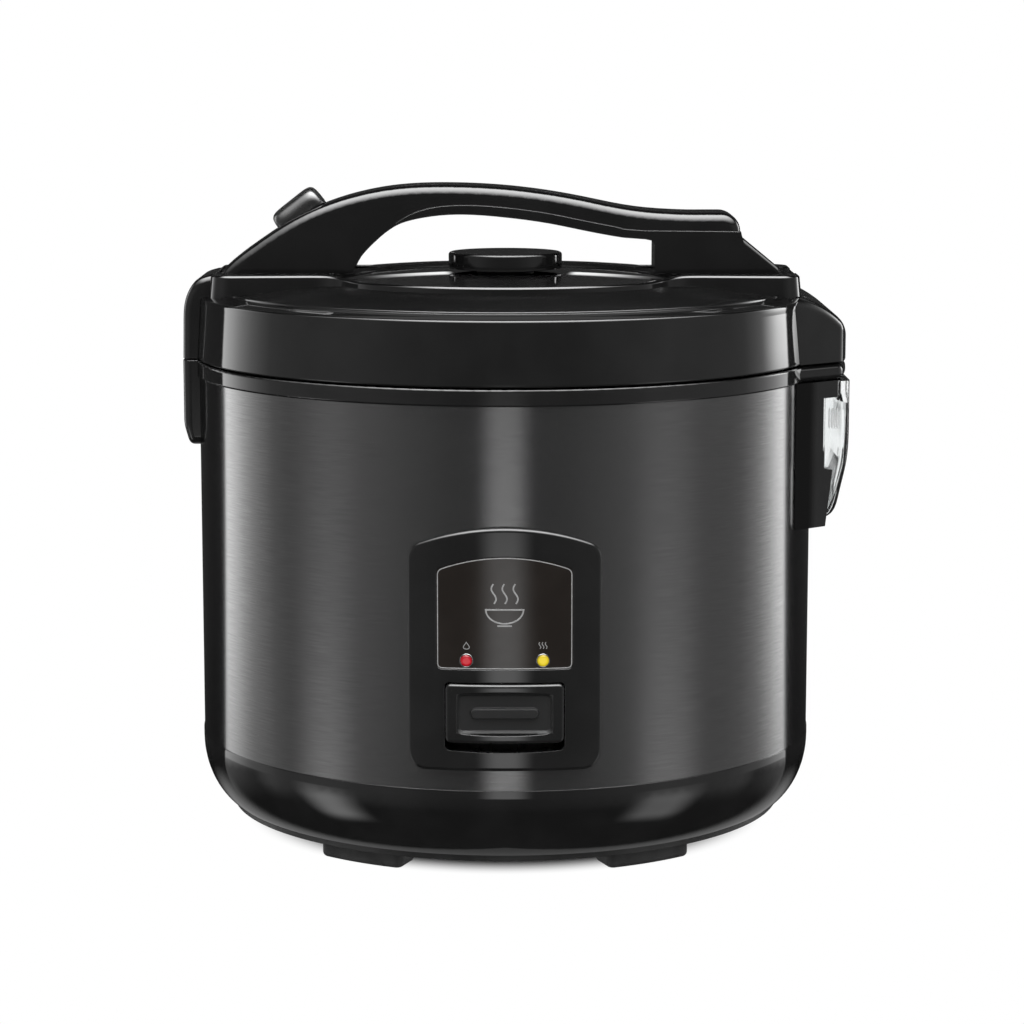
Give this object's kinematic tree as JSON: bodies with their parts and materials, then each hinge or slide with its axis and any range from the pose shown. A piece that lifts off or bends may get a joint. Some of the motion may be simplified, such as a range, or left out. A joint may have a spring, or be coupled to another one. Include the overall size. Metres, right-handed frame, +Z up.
{
  "type": "rice cooker",
  "caption": "Jar-type electric rice cooker with a hinged glass-topped lid, arched carry handle, push release, steam vent, cook key, condensate cup and lift-in pot",
  "frame": {"origin": "on the body's axis, in the plane the feet stand on", "axes": "+Z up, the control panel faces -Y, the lid's hinge is at +X and its latch at -X"},
  "size_m": [0.2756, 0.2646, 0.2658],
  "materials": {
    "black_gloss": "polished moulding",
    "black_matte": "moulded",
    "inlay": "printed plate",
    "brushed": "dark, brushed around the body",
    "rubber": "moulded",
    "bright_steel": "plain",
    "aluminium": "satin",
    "brass": "plain",
    "ferrite": "sintered",
    "glass": "tempered, smoked",
    "clear": "clear moulding",
    "red_lens": "tinted clear",
    "amber_lens": "tinted clear",
    "lamp": "small neon lamps"
  },
  "bodies": {
    "cooker_body": {"base_bowl": "black_gloss", "bottom_cover": "black_matte", "bottom_screws": "bright_steel", "feet": "rubber", "outer_shell": "brushed", "collar": "black_gloss", "catch_tongue": "black_gloss", "heat_liner": "bright_steel", "inner_pot": "aluminium", "heating_plate": "aluminium", "plate_legs": "bright_steel", "heater_terminals": "brass", "sensor_guide": "bright_steel", "sensor_spring": "bright_steel", "lever_bracket": "bright_steel", "lever_pin": "bright_steel", "cook_switch": "black_matte", "control_panel": "black_gloss", "panel_inlay": "inlay", "cook_lens": "red_lens", "warm_lens": "amber_lens", "lamps": "lamp", "power_inlet": "black_matte", "inlet_pins": "brass", "hinge_pin": "bright_steel", "hinge_spring": "bright_steel", "cup_holder": "black_gloss"},
    "lid": {"lid_band": "black_gloss", "lid_cover": "black_gloss", "glass_window": "glass", "glass_seal": "rubber", "vent_seat": "rubber", "inner_lid": "aluminium", "pot_seal": "rubber", "latch_cover": "black_gloss", "hinge_cover": "black_gloss", "handle_top": "black_gloss", "handle_under": "black_gloss", "handle_screws": "bright_steel", "latch_pin": "bright_steel"},
    "vent": {"vent_cap": "black_gloss"},
    "release": {"release_button": "black_gloss"},
    "latch": {"latch_hook": "black_matte"},
    "cup": {"condensate_cup": "clear"},
    "key": {"cook_key": "black_gloss"},
    "lever": {"cook_lever": "bright_steel"},
    "lifter": {"magnet_rod": "bright_steel", "magnet": "ferrite"},
    "sensor": {"sensor_cap": "aluminium", "ferrite": "ferrite"}
  },
  "joints": [
    {"name": "lid_hinge", "type": "hinge", "parent": "cooker_body", "child": "lid", "pos_m": [0.1386, 0, 0.1905], "axis": [0, 1, 0], "range_deg": [0, 80]},
    {"name": "vent_lift", "type": "slide", "parent": "lid", "child": "vent", "axis": [0, 0, 1], "range_m": [0, 0.011]},
    {"name": "button_press", "type": "slide", "parent": "lid", "child": "release", "axis": [0.6157, 0, -0.788], "range_m": [0, 0.003], "stiffness_N_per_m": 300, "springref_m": -0.003},
    {"name": "latch_turn", "type": "hinge", "parent": "lid", "child": "latch", "pos_m": [-0.108, 0, 0.216], "axis": [0, 1, 0], "range_deg": [0, 5]},
    {"name": "cup_pull", "type": "slide", "parent": "cooker_body", "child": "cup", "axis": [1, 0, 0], "range_m": [0, 0.035]},
    {"name": "key_press", "type": "slide", "parent": "cooker_body", "child": "key", "axis": [0, 0, -1], "range_m": [0, 0.003], "stiffness_N_per_m": 150, "springref_m": -0.004},
    {"name": "lever_tilt", "type": "hinge", "parent": "cooker_body", "child": "lever", "pos_m": [0, -0.058, 0.02875], "axis": [1, 0, 0], "range_deg": [0, 3]},
    {"name": "magnet_lift", "type": "slide", "parent": "cooker_body", "child": "lifter", "axis": [0, 0, 1], "range_m": [0, 0.003]},
    {"name": "sensor_press", "type": "slide", "parent": "cooker_body", "child": "sensor", "axis": [0, 0, 1], "range_m": [-0.002, 0], "stiffness_N_per_m": 500, "springref_m": 0.004, "deforming": ["sensor_spring"]}
  ],
  "couplings": [
    {"joint": "latch_turn", "follows": "button_press", "rad_per_m": 24.437},
    {"joint": "lever_tilt", "follows": "key_press", "rad_per_m": 16.393},
    {"joint": "magnet_lift", "follows": "key_press", "ratio": 0.95082}
  ]
}
